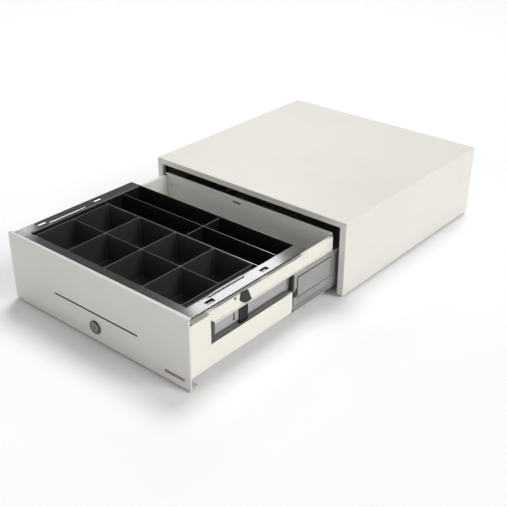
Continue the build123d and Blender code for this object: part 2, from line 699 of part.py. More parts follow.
with BuildPart() as striker_rivets:
    for x in (-8, 8):
        for z in (28, 42):
            rod(x, -3.0, z, 1.55, 3.0, "Y")
            rod(x, -3.9, z, 2.6, 0.9, "Y")
            rod(x, 0, z, 2.6, 0.9, "Y")

# ===========================================================================
# TILL INSERT
# ===========================================================================

IN_T = 1.6
with BuildPart() as insert_frame:
    # top rim, thinned to a lip all round
    bar(-INSERT_X, INSERT_X, RIM_Y0, INSERT_Y1, INSERT_TOP - 1.0, INSERT_TOP)
    bar(-184.5, 184.5, INSERT_Y0 - 2, INSERT_Y1, INSERT_TOP - 1.8, INSERT_TOP - 0.5)
    bar(-RIM_X, RIM_X, INSERT_Y0 + 2.5, INSERT_Y1 - 1.9, INSERT_TOP - 3, INSERT_TOP + 1, mode=Mode.SUBTRACT)
    # outer walls under the rim, and the one across the front
    for s in (-1, 1):
        xa, xb = sorted((s * 176.8, s * 178.4))
        bar(xa, xb, INSERT_Y0, INSERT_Y1, 92.0, INSERT_TOP - 0.6)
    bar(-178.4, 178.4, INSERT_Y0, INSERT_Y0 + 2.0, 92.0, INSERT_TOP - 0.6)
    # skirts beside the coin tray, with the shelf that carries it
    for s in (-1, 1):
        xa, xb = sorted((s * (RIM_X - IN_T), s * (RIM_X + 1.0)))
        bar(xa, xb, INSERT_Y0, INSERT_Y1, TRAY_Z0 + SHEET, INSERT_TOP - 0.6)
        xa, xb = sorted((s * (CUP_X + 0.8), s * (RIM_X - 0.5)))
        bar(xa, xb, INSERT_Y0, -163.2, 103.0, 104.6)
    # upright note compartments
    bar(-RIM_X, RIM_X, -163.2, INSERT_Y1, 24.0, NOTE_FLOOR)
    bar(-RIM_X, RIM_X, -163.2, -161.6, 24.0, 110.6)
    bar(-RIM_X, RIM_X, INSERT_Y1 - 1.9, INSERT_Y1, 24.0, INSERT_TOP - 0.6)
    bar(-RIM_X, RIM_X, -121.2, -119.6, 24.0, 110.0)
    bar(NOTE_DIVIDER_X - 0.8, NOTE_DIVIDER_X + 0.8, -163.2, INSERT_Y1, 24.0, 110.0)
    # slots in the side rims
    for s in (-1, 1):
        for y in (-280.3, -166.5):
            with BuildSketch(level(INSERT_TOP - 2.2)):
                with Locations((s * 178.4, y)):
                    Rectangle(7.4, 15.5)
            extrude(amount=4, mode=Mode.SUBTRACT)
    # holes for the retainer wires
    for s in (-1, 1):
        for y in (-272.0, -200.0):
            rod(s * 169.4, y, INSERT_TOP - 4, 1.0, 6, "Z", mode=Mode.SUBTRACT)
    top_outer = insert_frame.edges().filter_by(
        lambda e: abs(e.center().Z - Z0 - INSERT_TOP) < 0.01
        and (abs(abs(e.center().X) - INSERT_X) < 0.01
             or abs(e.center().Y - Y0 - RIM_Y0) < 0.01
             or abs(e.center().Y - Y0 - INSERT_Y1) < 0.01)
    )
    fillet(top_outer, 0.5)

CUP_COLS = [(-154.4, -80.8), (-79.2, -0.8), (0.8, 79.2), (80.8, 154.4)]
CUP_ROWS = [(-310.4, -237.0), (-235.4, -165.2)]
with BuildPart() as coin_tray:
    bar(-CUP_X, CUP_X, CUP_Y0, CUP_Y1, CUP_FLOOR - 2.0, 110.8)
    # ears that rest on the frame's shelf
    for s in (-1, 1):
        xa, xb = sorted((s * (CUP_X - 1), s * 164.0))
        bar(xa, xb, CUP_Y0 + 6, CUP_Y1 - 6, 104.6, 106.2)
    for xa, xb in CUP_COLS:
        for ya, yb in CUP_ROWS:
            with BuildSketch(level(110.8)):
                with Locations(((xa + xb) / 2, (ya + yb) / 2)):
                    RectangleRounded(xb - xa, yb - ya, 3.0)
            extrude(amount=-(110.8 - CUP_FLOOR), mode=Mode.SUBTRACT)
    floor_edges = coin_tray.edges().filter_by(
        lambda e: abs(e.center().Z - Z0 - CUP_FLOOR) < 0.01
    )
    fillet(floor_edges, 2.5)

WIRE_R = 0.9


def retainer(s):
    """Sprung wire lying on the rim, its two ends turned down into it."""
    with BuildLine() as path:
        FilletPolyline(
            (s * 169.4, Y0 - 272.0, Z0 + INSERT_TOP - 3.5),
            (s * 169.4, Y0 - 272.0, Z0 + INSERT_TOP + 1.6),
            (s * 168.4, Y0 - 262.0, Z0 + INSERT_TOP + 1.6),
            (s * 168.4, Y0 - 210.0, Z0 + INSERT_TOP + 1.6),
            (s * 169.4, Y0 - 200.0, Z0 + INSERT_TOP + 1.6),
            (s * 169.4, Y0 - 200.0, Z0 + INSERT_TOP - 3.5),
            radius=1.3,
        )
    return path


wire_path_right = retainer(1)
with BuildPart() as retainer_wire_right:
    with BuildSketch(Plane(origin=wire_path_right.line @ 0, z_dir=wire_path_right.line % 0)):
        Circle(WIRE_R)
    sweep(path=wire_path_right.line)

with BuildPart() as retainer_wire_left:
    mirror(retainer_wire_right.part, about=Plane.YZ)

# ===========================================================================
# RUNNERS (between the cabinet's tracks and the drawer's rails)
# ===========================================================================

with BuildPart() as runner_right:
    with BuildSketch(front(RUNNER_Y0)):
        with BuildLine():
            Polyline(
                (183.5, 14.0),
                (187.9, 14.0),
                (187.9, 20.5),
                (188.5, 21.0),
                (188.5, 22.6),
                (187.9, 23.1),
                (187.9, 79.0),
                (185.2, 79.0),
                (185.2, 78.0),
                (186.9, 78.0),
                (186.9, 15.0),
                (183.5, 15.0),
                (183.5, 14.0),
            )
        make_face()
    extrude(amount=-(RUNNER_Y1 - RUNNER_Y0))
    # pressed panels and swages along the web
    for ya in (-98.0, 2.0, 98.0):
        with BuildSketch(side(187.4)):
            with Locations((ya + 42.0, 54.5)):
                RectangleRounded(87.0, 36.0, 4.0)
        extrude(amount=1.0, mode=Mode.SUBTRACT)
        with BuildSketch(side(187.2)):
            with Locations((ya + 42.0, 54.5)):
                RectangleRounded(84.0, 33.0, 2.5)
        extrude(amount=1.4)
        with BuildSketch(side(187.8)):
            with Locations((ya + 29.0, 30.5)):
                RectangleRounded(58.0, 9.0, 1.5)
        extrude(amount=0.6)
    fillet(
        runner_right.edges().filter_by(Axis.Y).filter_by(
            lambda e: abs(e.center().X - 187.9) < 0.01 and abs(e.center().Z - Z0 - 79.0) < 0.01
        ),
        0.8,
    )

with BuildPart() as runner_left:
    mirror(runner_right.part, about=Plane.YZ)

# Shoes that ride inside the drawer's rail
with BuildPart() as rail_shoes_right:
    for ya in (-104.0, -42.0):
        bar(181.9, 183.0, ya, ya + 30, 25.7, 50.3)
        bar(183.0, 186.9, ya, ya + 30, 29.0, 47.0)

with BuildPart() as rail_shoes_left:
    mirror(rail_shoes_right.part, about=Plane.YZ)

# Saddles that ride on the base track's head
with BuildPart() as track_saddles_right:
    for ya in (26.0, 158.0):
        bar(182.4, 190.6, ya, ya + 30, 8.2, 14.0)
        bar(183.6, 189.6, ya - 1, ya + 31, 11.0, 13.0, mode=Mode.SUBTRACT)
        bar(185.8, 187.8, ya - 1, ya + 31, 8.0, 11.2, mode=Mode.SUBTRACT)

with BuildPart() as track_saddles_left:
    mirror(track_saddles_right.part, about=Plane.YZ)

with BuildPart() as runner_bumper_right:
    bar(185.3, 188.5, -113.0, RUNNER_Y0, 54.0, 77.6)
    fillet(runner_bumper_right.edges().filter_by(Axis.Z).group_by(Axis.Y)[0], 1.0)

with BuildPart() as runner_bumper_left:
    mirror(runner_bumper_right.part, about=Plane.YZ)

with BuildPart() as runner_stop_right:
    with BuildSketch(side(187.9)):
        with BuildLine():
            Polyline(
                (-107.0, 47.0),
                (-99.8, 53.4),
                (-99.8, 42.0),
                (-102.4, 38.8),
                (-107.0, 40.6),
                (-107.0, 47.0),
            )
        make_face()
    extrude(amount=0.8)
    bar(186.9, 188.7, -109.0, -107.0, 40.6, 47.0)

with BuildPart() as runner_stop_left:
    mirror(runner_stop_right.part, about=Plane.YZ)

# ===========================================================================
# LABELS AND FILES
# ===========================================================================

PIECES = {
    "cabinet_shell": cabinet_shell,
    "cabinet_base": cabinet_base,
    "rear_panel": rear_panel,
    "rear_panel_screws": rear_panel_screws,
    "rubber_feet": rubber_feet,
    "track_left": track_left,
    "track_right": track_right,
    "track_rivets": track_rivets,
    "latch_bracket": latch_bracket,
    "latch_bracket_screws": latch_bracket_screws,
    "latch_pivot_pin": latch_pivot_pin,
    "latch_lever": latch_lever,
    "latch_spring": latch_spring,
    "solenoid_frame": solenoid_frame,
    "solenoid_coil": solenoid_coil,
    "solenoid_plunger": solenoid_plunger,
    "microswitch_body": microswitch_body,
    "microswitch_lever": microswitch_lever,
    "rear_stop_left": rear_stop_left,
    "rear_stop_right": rear_stop_right,
    "closing_buffers": closing_buffers,
    "ejector_guides": ejector_guides,
    "ejector_springs": ejector_springs,
    "interface_board": interface_board,
    "board_standoffs": board_standoffs,
    "data_socket": data_socket,
    "drawer_tray": drawer_tray,
    "side_panel_left": side_panel_left,
    "side_panel_right": side_panel_right,
    "front_panel": front_panel,
    "front_panel_screws": front_panel_screws,
    "label_plate": label_plate,
    "lock_housing": lock_housing,
    "lock_nut": lock_nut,
    "lock_plug": lock_plug,
    "lock_bolt": lock_bolt,
    "lock_bolt_screw": lock_bolt_screw,
    "drawer_rail_left": drawer_rail_left,
    "drawer_rail_right": drawer_rail_right,
    "rail_rivets": rail_rivets,
    "window_cap_left": window_cap_left,
    "window_cap_right": window_cap_right,
    "insert_clip_left": insert_clip_left,
    "insert_clip_right": insert_clip_right,
    "striker": striker,
    "striker_rivets": striker_rivets,
    "insert_frame": insert_frame,
    "coin_tray": coin_tray,
    "retainer_wire_left": retainer_wire_left,
    "retainer_wire_right": retainer_wire_right,
    "runner_left": runner_left,
    "runner_right": runner_right,
    "rail_shoes_left": rail_shoes_left,
    "rail_shoes_right": rail_shoes_right,
    "track_saddles_left": track_saddles_left,
    "track_saddles_right": track_saddles_right,
    "runner_bumper_left": runner_bumper_left,
    "runner_bumper_right": runner_bumper_right,
    "runner_stop_left": runner_stop_left,
    "runner_stop_right": runner_stop_right,
}

for name, piece in PIECES.items():
    piece.part.label = name
    export_step(piece.part, f"parts/{name}.step")
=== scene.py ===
import bpy
import bmesh
import math
from mathutils import Vector, Matrix


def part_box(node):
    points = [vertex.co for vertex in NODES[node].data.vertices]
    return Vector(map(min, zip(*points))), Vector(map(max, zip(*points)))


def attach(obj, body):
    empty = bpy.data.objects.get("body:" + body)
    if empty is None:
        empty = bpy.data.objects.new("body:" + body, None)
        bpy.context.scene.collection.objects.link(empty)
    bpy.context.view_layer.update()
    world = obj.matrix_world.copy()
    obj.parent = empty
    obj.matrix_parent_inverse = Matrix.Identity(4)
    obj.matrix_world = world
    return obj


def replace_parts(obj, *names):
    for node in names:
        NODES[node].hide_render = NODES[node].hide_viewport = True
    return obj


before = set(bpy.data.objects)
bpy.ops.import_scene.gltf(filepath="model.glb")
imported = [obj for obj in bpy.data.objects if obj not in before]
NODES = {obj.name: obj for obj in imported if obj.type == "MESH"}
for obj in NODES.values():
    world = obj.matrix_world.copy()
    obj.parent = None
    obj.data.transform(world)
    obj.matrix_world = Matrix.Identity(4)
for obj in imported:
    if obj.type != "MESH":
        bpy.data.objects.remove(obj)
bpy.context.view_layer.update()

_lo, _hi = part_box("cabinet_shell")
Y0, Z0 = _lo.y, _lo.z          # the cabinet's front plane and underside


def at(x, y, z):
    """Millimetres from the cabinet's front plane and underside, as a point in the row frame."""
    return Vector((x * 0.001, Y0 + y * 0.001, Z0 + z * 0.001))


# ---------------------------------------------------------------------------
# Camera: the photograph's place and lens
# ---------------------------------------------------------------------------
scene = bpy.context.scene
AZ, EL, ROLL = math.radians(40.03), math.radians(28.79), math.radians(0.15)
back = Vector((math.sin(AZ) * math.cos(EL), -math.cos(AZ) * math.cos(EL), math.sin(EL)))
right = (-back).cross(Vector((0, 0, 1))).normalized()
up = right.cross(-back)
r2 = right * math.cos(ROLL) + up * math.sin(ROLL)
u2 = up * math.cos(ROLL) - right * math.sin(ROLL)
cam_data = bpy.data.cameras.new("camera")
cam_data.sensor_width = 36.0
cam_data.lens = 888.0 / 507.0 * 36.0
cam_data.clip_start = 0.05
cam_data.clip_end = 60.0
cam = bpy.data.objects.new("camera", cam_data)
scene.collection.objects.link(cam)
m = Matrix((
    (r2.x, u2.x, back.x, 0), (r2.y, u2.y, back.y, 0), (r2.z, u2.z, back.z, 0), (0, 0, 0, 1)))
m.translation = at(873.5, -1017.0, 740.9)
cam.matrix_world = m
scene.camera = cam

scene.view_settings.view_transform = "Standard"
scene.view_settings.look = "None"


# ---------------------------------------------------------------------------
# Materials
# ---------------------------------------------------------------------------
def srgb(r, g, b):
    f = lambda c: (c / 255 / 12.92) if c / 255 <= 0.04045 else ((c / 255 + 0.055) / 1.055) ** 2.4
    return (f(r), f(g), f(b), 1.0)


class Shader:
    """A principled material with small helpers for procedural detail in object space."""

    def __init__(self, name, color, rough, metallic=0.0, coat=0.0, coat_rough=0.1, ior=1.5, specular=0.5):
        self.mat = bpy.data.materials.new(name)
        self.mat.use_nodes = True
        self.t = self.mat.node_tree
        self.b = self.t.nodes["Principled BSDF"]
        self.b.inputs["Base Color"].default_value = color
        self.b.inputs["Roughness"].default_value = rough
        self.b.inputs["Metallic"].default_value = metallic
        self.b.inputs["Coat Weight"].default_value = coat
        self.b.inputs["Coat Roughness"].default_value = coat_rough
        self.b.inputs["IOR"].default_value = ior
        self.b.inputs["Specular IOR Level"].default_value = specular
        self.tc = self.t.nodes.new("ShaderNodeTexCoord")
        self.mat.diffuse_color = color

    def node(self, kind, **kw):
        n = self.t.nodes.new(kind)
        for k, v in kw.items():
            setattr(n, k, v)
        return n

    def link(self, a, b):
        self.t.links.new(a, b)

    def coords(self, scale=(1, 1, 1)):
        mp = self.node("ShaderNodeMapping")
        mp.inputs["Scale"].default_value = scale
        self.link(self.tc.outputs["Object"], mp.inputs["Vector"])
        return mp.outputs["Vector"]

    def noise(self, scale, detail=2.0, rough=0.5, stretch=(1, 1, 1), distortion=0.0):
        n = self.node("ShaderNodeTexNoise")
        n.inputs["Scale"].default_value = scale
        n.inputs["Detail"].default_value = detail
        n.inputs["Roughness"].default_value = rough
        n.inputs["Distortion"].default_value = distortion
        self.link(self.coords(stretch), n.inputs["Vector"])
        return n.outputs["Fac"]

    def voronoi(self, scale, stretch=(1, 1, 1), feature="F1"):
        n = self.node("ShaderNodeTexVoronoi", feature=feature)
        n.inputs["Scale"].default_value = scale
        self.link(self.coords(stretch), n.inputs["Vector"])
        return n

    def ramp(self, fac, stops):
        r = self.node("ShaderNodeValToRGB")
        els = r.color_ramp.elements
        while len(els) < len(stops):
            els.new(0.5)
        for e, (p, c) in zip(els, stops):
            e.position = p
            e.color = c if len(c) == 4 else (*c, 1)
        self.link(fac, r.inputs["Fac"])
        return r.outputs["Color"]

    def span(self, fac, a, b, lo, hi):
        r = self.node("ShaderNodeMapRange")
        for k, v in zip(("From Min", "From Max", "To Min", "To Max"), (a, b, lo, hi)):
            r.inputs[k].default_value = v
        self.link(fac, r.inputs["Value"])
        return r.outputs["Result"]

    def math(self, op, a, b=None):
        n = self.node("ShaderNodeMath", operation=op)
        for i, v in enumerate((a, b)):
            if v is None:
                continue
            if isinstance(v, (int, float)):
                n.inputs[i].default_value = v
            else:
                self.link(v, n.inputs[i])
        return n.outputs["Value"]

    def mix(self, fac, a, b, blend="MIX"):
        n = self.node("ShaderNodeMix", data_type="RGBA", blend_type=blend)
        for sock, v in ((n.inputs["Factor"], fac), (n.inputs["A"], a), (n.inputs["B"], b)):
            pass
        ins = {s.identifier: s for s in n.inputs}
        for key, v in (("Factor_Float", fac), ("A_Color", a), ("B_Color", b)):
            if isinstance(v, (int, float)):
                ins[key].default_value = v
            elif isinstance(v, tuple):
                ins[key].default_value = v if len(v) == 4 else (*v, 1)
            else:
                self.link(v, ins[key])
        outs = {s.identifier: s for s in n.outputs}
        return outs["Result_Color"]

    def color(self, out):
        self.link(out, self.b.inputs["Base Color"])

    def rough(self, out):
        self.link(out, self.b.inputs["Roughness"])

    def bump(self, *layers):
        """layers: (height output, strength, distance in metres)"""
        last = None
        for h, s, d in layers:
            n = self.node("ShaderNodeBump")
            n.inputs["Strength"].default_value = s
            n.inputs["Distance"].default_value = d
            self.link(h, n.inputs["Height"])
            if last is not None:
                self.link(last, n.inputs["Normal"])
            last = n.outputs["Normal"]
        self.link(last, self.b.inputs["Normal"])

    def inside(self, lo, hi, soft=0.0008):
        """1 within a box given in row-frame metres, 0 outside it."""
        sep = self.node("ShaderNodeSeparateXYZ")
        self.link(self.tc.outputs["Object"], sep.inputs["Vector"])
        acc = None
        for i, ax in enumerate("XYZ"):
            if lo[i] is not None:
                v = self.span(sep.outputs[ax], lo[i] - soft, lo[i] + soft, 0, 1)
                acc = v if acc is None else self.math("MULTIPLY", acc, v)
            if hi[i] is not None:
                v = self.span(sep.outputs[ax], hi[i] - soft, hi[i] + soft, 1, 0)
                acc = v if acc is None else self.math("MULTIPLY", acc, v)
        return acc


def shade(c, k):
    return (min(c[0] * k, 1), min(c[1] * k, 1), min(c[2] * k, 1), 1)


def powder_coat(name, color, rough=0.48, shaded_inside_box=None):
    """Fine-textured powder coat: cloudy tone, orange-peel bump, tiny lighter and darker specks, faint handling smudges."""
    s = Shader(name, color, rough, coat=0.06, coat_rough=0.35)
    cloud = s.noise(5.0, 4.0, 0.55)
    c = s.ramp(cloud, [(0.3, shade(color, 0.975)), (0.7, shade(color, 1.02))])
    speck = s.noise(1250.0, 2.0, 0.55)
    c = s.mix(s.span(speck, 0.52, 0.72, 0, 0.16), c, shade(color, 0.70))
    c = s.mix(s.span(speck, 0.46, 0.28, 0, 0.16), c, shade(color, 1.22))
    handled = s.noise(9.0, 7.0, 0.7, distortion=1.2)
    c = s.mix(s.span(handled, 0.56, 0.74, 0, 0.07), c, shade(color, 0.62))
    # painted shade: inside the given box the coat turns near-black, standing for the shade within the closed cabinet
    if shaded_inside_box:
        c = s.mix(s.inside(*shaded_inside_box), c, srgb(34, 34, 35))
    s.color(c)
    smudge = s.noise(14.0, 6.0, 0.65, distortion=0.6)
    s.rough(s.span(smudge, 0.35, 0.7, rough - 0.06, rough + 0.07))
    s.bump((s.noise(1250.0, 2.0, 0.55), 0.30, 0.00007), (s.noise(420.0, 2.0, 0.5), 0.20, 0.00010))
    return s.mat


def zinc(name, color, rough=0.36, along=(1, 0.04, 1), metal=0.85, groove_shade_boxes=()):
    """Rolled zinc-plated steel: long rolling marks, faint spangle, dull passivation bloom."""
    s = Shader(name, color, rough, metallic=metal)
    roll = s.noise(900.0, 3.0, 0.6, stretch=along)
    bloom = s.noise(22.0, 5.0, 0.6)
    sp = s.voronoi(260.0)
    c = s.ramp(bloom, [(0.3, shade(color, 0.86)), (0.72, shade(color, 1.10))])
    c = s.mix(s.span(roll, 0.3, 0.75, 0.0, 0.35), c, shade(color, 0.78))
    c = s.mix(s.span(sp.outputs["Distance"], 0.0, 0.9, 0.12, 0.0), c, shade(color, 1.25))
    # painted shade: each listed box is darkened towards a near-black copy of the colour
    for lo, hi, soft, strength in groove_shade_boxes:
        c = s.mix(s.math("MULTIPLY", s.inside(lo, hi, soft), strength), c, shade(color, 0.22))
    s.color(c)
    s.rough(s.math("ADD", s.span(roll, 0.25, 0.8, rough - 0.07, rough + 0.08), s.span(bloom, 0.3, 0.7, -0.03, 0.06)))
    s.bump((roll, 0.14, 0.00005), (bloom, 0.05, 0.0003))
    return s.mat


def moulded(name, color, rough, grain=0.3, grain_scale=1400.0, coat=0.0, coat_rough=0.15, tone=1.12, wave=0.05):
    """Moulded plastic: spark-eroded grain, slight sink and flow variation, dust in the grain."""
    s = Shader(name, color, rough, coat=coat, coat_rough=coat_rough)
    g = s.noise(grain_scale, 3.0, 0.6)
    flow = s.noise(18.0, 3.0, 0.5)
    c = s.ramp(flow, [(0.3, shade(color, 0.88)), (0.7, shade(color, tone))])
    c = s.mix(s.span(g, 0.62, 0.8, 0.0, 0.25), c, shade(color, 1.8))
    s.color(c)
    s.rough(s.math("ADD", s.span(g, 0.3, 0.7, rough - 0.05, rough + 0.06), s.span(flow, 0.3, 0.7, -0.03, 0.03)))
    s.bump((g, grain, 0.00005), (flow, wave, 0.0004))
    return s.mat


def bright_metal(name, color, rough, marks=0.1, metal=1.0):
    s = Shader(name, color, rough, metallic=metal)
    fine = s.noise(1800.0, 3.0, 0.6, stretch=(1, 1, 0.15))
    haze = s.noise(160.0, 4.0, 0.6)
    s.color(s.ramp(haze, [(0.3, shade(color, 0.9)), (0.7, shade(color, 1.04))]))
    s.rough(s.math("ADD", s.span(fine, 0.3, 0.7, max(rough - 0.04, 0.02), rough + 0.05), s.span(haze, 0.4, 0.8, 0, 0.04)))
    s.bump((fine, marks, 0.00003))
    return s.mat


def label_foil():
    """Anodised name strip left blank: brushed along its length, a few handling scratches."""
    c = srgb(146, 130, 121)
    s = Shader("label_foil", c, 0.36, metallic=0.55)
    brush = s.noise(1500.0, 3.0, 0.6, stretch=(0.03, 1, 1))
    scratch = s.noise(300.0, 2.0, 0.5, stretch=(0.25, 1, 1), distortion=1.5)
    k = s.ramp(brush, [(0.3, shade(c, 0.72)), (0.7, shade(c, 1.25))])
    k = s.mix(s.span(scratch, 0.68, 0.74, 0, 0.5), k, shade(c, 1.9))
    s.color(k)
    s.rough(s.span(brush, 0.3, 0.7, 0.28, 0.44))
    s.bump((brush, 0.2, 0.00003))
    return s.mat


def lock_chrome():
    """Nickel-chrome lock face: bright turned centre, gunmetal outer ring, fine turning marks, faint darker haze."""
    c = srgb(168, 170, 168)
    s = Shader("nickel_chrome", c, 0.16, metallic=1.0)
    sep = s.node("ShaderNodeSeparateXYZ")
    s.link(s.tc.outputs["Object"], sep.inputs["Vector"])
    dz = s.math("SUBTRACT", sep.outputs["Z"], Z0 + 0.022)
    r = s.math("SQRT", s.math("ADD", s.math("MULTIPLY", sep.outputs["X"], sep.outputs["X"]), s.math("MULTIPLY", dz, dz)))
    # the thin near-black step at 0.54 is painted shade of a bezel ring groove round the plug; the other steps are the
    # metal's own tones
    tone = s.ramp(s.span(r, 0.0, 0.011, 0.0, 1.0), [
        (0.0, shade(c, 1.0)), (0.50, shade(c, 1.15)), (0.54, shade(c, 0.12)), (0.60, shade(c, 0.85)), (0.78, shade(c, 0.75)),
        (0.84, shade(c, 0.30)), (1.0, shade(c, 0.22))])
    haze = s.noise(420.0, 4.0, 0.6)
    s.color(s.mix(s.span(haze, 0.45, 0.8, 0.0, 0.35), tone, shade(c, 0.55)))
    turning = s.math("SINE", s.math("MULTIPLY", r, 22000.0))
    s.rough(s.math("ADD", s.span(turning, -1, 1, 0.12, 0.2), s.span(haze, 0.4, 0.8, 0.0, 0.1)))
    s.bump((turning, 0.12, 0.00002), (haze, 0.05, 0.00004))
    return s.mat


PAINT = srgb(226, 223, 216)
shell_lo = (-0.2037, Y0 + 0.0075, None)
shell_hi = (0.2037, Y0 + 0.4046, Z0 + 0.1266)
# painted shade: near-black lines in the grooves round the runners' pressed panels and under the lower swage, standing
# for the shade in these recesses
def mm_box(y0, y1, z0, z1):
    return (None, Y0 + y0 * 0.001, Z0 + z0 * 0.001), (None, Y0 + y1 * 0.001, Z0 + z1 * 0.001)


RUNNER_GROOVE_SHADE = []
for ya in (-98.0, 2.0, 98.0):
    yc = ya + 42.0
    for box in ((yc - 43.6, yc + 43.6, 71.0, 72.6), (yc - 43.6, yc + 43.6, 36.4, 38.1),
                (yc - 43.6, yc - 42.0, 36.4, 72.6), (yc + 42.0, yc + 43.6, 36.4, 72.6)):
        RUNNER_GROOVE_SHADE.append((*mm_box(*box), 0.0003, 0.85))
RUNNER_GROOVE_SHADE.append((*mm_box(-107.0, 190.0, 22.7, 24.0), 0.0004, 0.5))
RUNNER_GROOVE_SHADE.append((*mm_box(-107.0, 190.0, 16.0, 20.8), 0.0010, 0.35))

# painted shade: a dark line in the recess above the rail's lower flange and a dark upright strip on the rail web
RAIL_GROOVE_SHADE = [(*mm_box(-320.0, 0.0, 51.9, 57.6), 0.0006, 0.55), (*mm_box(-239.6, -234.8, 62.4, 75.6), 0.0005, 0.5)]

M = {
    # the shell's and the rear panel's inner faces get the near-black painted shade
    "shell": powder_coat("powder_coat_cabinet", PAINT, 0.46, shaded_inside_box=(shell_lo, shell_hi)),
    "rear": powder_coat("powder_coat_rear", shade(PAINT, 0.93), 0.48, shaded_inside_box=((None, None, None), (None, Y0 + 0.4044, None))),
    "panel": powder_coat("powder_coat_front", srgb(213, 212, 206), 0.46),
    "drawer": powder_coat("powder_coat_drawer", srgb(232, 229, 218), 0.42),
    "tray": powder_coat("powder_coat_tray", srgb(240, 238, 232), 0.44),
    "base": powder_coat("powder_coat_base", srgb(190, 187, 180), 0.5),
    "runner": zinc("zinc_runner", srgb(166, 165, 163), 0.42, metal=0.6, groove_shade_boxes=RUNNER_GROOVE_SHADE),
    "track": zinc("zinc_track", srgb(166, 165, 163), 0.42, metal=0.6),
    "rail": zinc("zinc_rail", srgb(180, 179, 178), 0.36, metal=0.7, groove_shade_boxes=RAIL_GROOVE_SHADE),
    "zinc": zinc("zinc_fittings", srgb(196, 198, 196), 0.32, along=(1, 1, 1)),
    "rim": moulded("rim_plastic", srgb(27, 27, 30), 0.30, grain=0.02, grain_scale=2600.0, coat=0.6, coat_rough=0.09, wave=0.0),
    "cups": moulded("cup_plastic", srgb(54, 53, 50), 0.42, grain=0.30),
    "black": moulded("black_nylon", srgb(19, 19, 20), 0.46, grain=0.25),
    "cap": moulded("grey_moulding", srgb(58, 58, 59), 0.42, grain=0.2),
    "nylon": moulded("natural_nylon", srgb(222, 221, 212), 0.38, grain=0.12),
    "rubber": moulded("black_rubber", srgb(30, 30, 31), 0.75, grain=0.4, grain_scale=900.0),
    "chrome": lock_chrome(),
    "screw": bright_metal("bright_zinc_screw", srgb(186, 188, 190), 0.26, 0.2),
    "spring": bright_metal("drawn_wire", srgb(214, 214, 216), 0.22, 0.15),
    "wire": bright_metal("retainer_wire", srgb(226, 225, 220), 0.30, 0.05, metal=0.55),
    "label": label_foil(),
    "copper": bright_metal("enamelled_copper", srgb(176, 96, 44), 0.3, 0.3, metal=0.85),
    "tape": moulded("winding_tape", srgb(170, 112, 30), 0.35, grain=0.1),
    "board": moulded("solder_mask", srgb(24, 84, 48), 0.28, grain=0.05, coat=0.4),
}

USE = {
    "cabinet_shell": "shell", "rear_panel": "rear", "cabinet_base": "base",
    "rear_panel_screws": "screw", "rubber_feet": "rubber",
    "track_left": "track", "track_right": "track", "track_rivets": "screw",
    "latch_bracket": "zinc", "latch_bracket_screws": "screw", "latch_pivot_pin": "screw",
    "latch_lever": "zinc", "latch_spring": "spring", "solenoid_frame": "zinc", "solenoid_coil": "tape",
    "solenoid_plunger": "screw", "microswitch_body": "black", "microswitch_lever": "spring",
    "rear_stop_left": "zinc", "rear_stop_right": "zinc", "closing_buffers": "rubber",
    "ejector_guides": "screw", "ejector_springs": "spring",
    "interface_board": "board", "board_standoffs": "screw", "data_socket": "black",
    "drawer_tray": "tray", "side_panel_left": "drawer", "side_panel_right": "drawer",
    "front_panel": "panel", "front_panel_screws": "screw", "label_plate": "label",
    "lock_housing": "chrome", "lock_nut": "screw", "lock_plug": "chrome", "lock_bolt": "zinc",
    "lock_bolt_screw": "screw",
    "drawer_rail_left": "rail", "drawer_rail_right": "rail", "rail_rivets": "screw",
    "window_cap_left": "cap", "window_cap_right": "cap",
    "insert_clip_left": "black", "insert_clip_right": "black",
    "striker": "zinc", "striker_rivets": "screw",
    "insert_frame": "rim", "coin_tray": "cups",
    "retainer_wire_left": "wire", "retainer_wire_right": "wire",
    "runner_left": "runner", "runner_right": "runner",
    "rail_shoes_left": "nylon", "rail_shoes_right": "nylon",
    "track_saddles_left": "nylon", "track_saddles_right": "nylon",
    "runner_bumper_left": "rubber", "runner_bumper_right": "rubber",
    "runner_stop_left": "black", "runner_stop_right": "black",
}
for name, o in NODES.items():
    if not o.material_slots:
        o.data.materials.append(None)
    for slot in o.material_slots:
        slot.link = "OBJECT"
        slot.material = M[USE[name]]


def soften(name, width, segments=2, angle=40):
    """Rolls the CAD node's sharp edges with modifiers, leaving its mesh as it is."""
    o = NODES[name]
    w = o.modifiers.new("join", "WELD")
    w.merge_threshold = 1e-6
    b = o.modifiers.new("edge", "BEVEL")
    b.width = width * 0.001
    b.segments = segments
    b.limit_method = "ANGLE"
    b.angle_limit = math.radians(angle)
    b.use_clamp_overlap = True
    b.harden_normals = True


for name, width in {
    "cabinet_shell": 0.3, "cabinet_base": 0.2, "rear_panel": 0.3,
    "drawer_tray": 0.3, "side_panel_left": 0.35, "side_panel_right": 0.35, "front_panel": 0.3,
    "insert_frame": 0.45, "coin_tray": 0.5, "runner_left": 0.2, "runner_right": 0.2,
    "drawer_rail_left": 0.25, "drawer_rail_right": 0.25, "insert_clip_left": 0.3, "insert_clip_right": 0.3,
    "window_cap_left": 0.5, "window_cap_right": 0.5, "lock_housing": 0.2, "lock_plug": 0.15,
    "label_plate": 0.12, "runner_stop_left": 0.15, "runner_stop_right": 0.15,
    "rail_shoes_left": 0.3, "rail_shoes_right": 0.3, "track_saddles_left": 0.25, "track_saddles_right": 0.25,
    "runner_bumper_left": 0.3, "runner_bumper_right": 0.3, "latch_bracket": 0.2, "latch_lever": 0.25,
    "solenoid_frame": 0.2, "microswitch_body": 0.3, "rear_stop_left": 0.2, "rear_stop_right": 0.2,
    "lock_nut": 0.3, "lock_bolt": 0.2, "striker": 0.2, "data_socket": 0.3, "interface_board": 0.15,
}.items():
    soften(name, width)


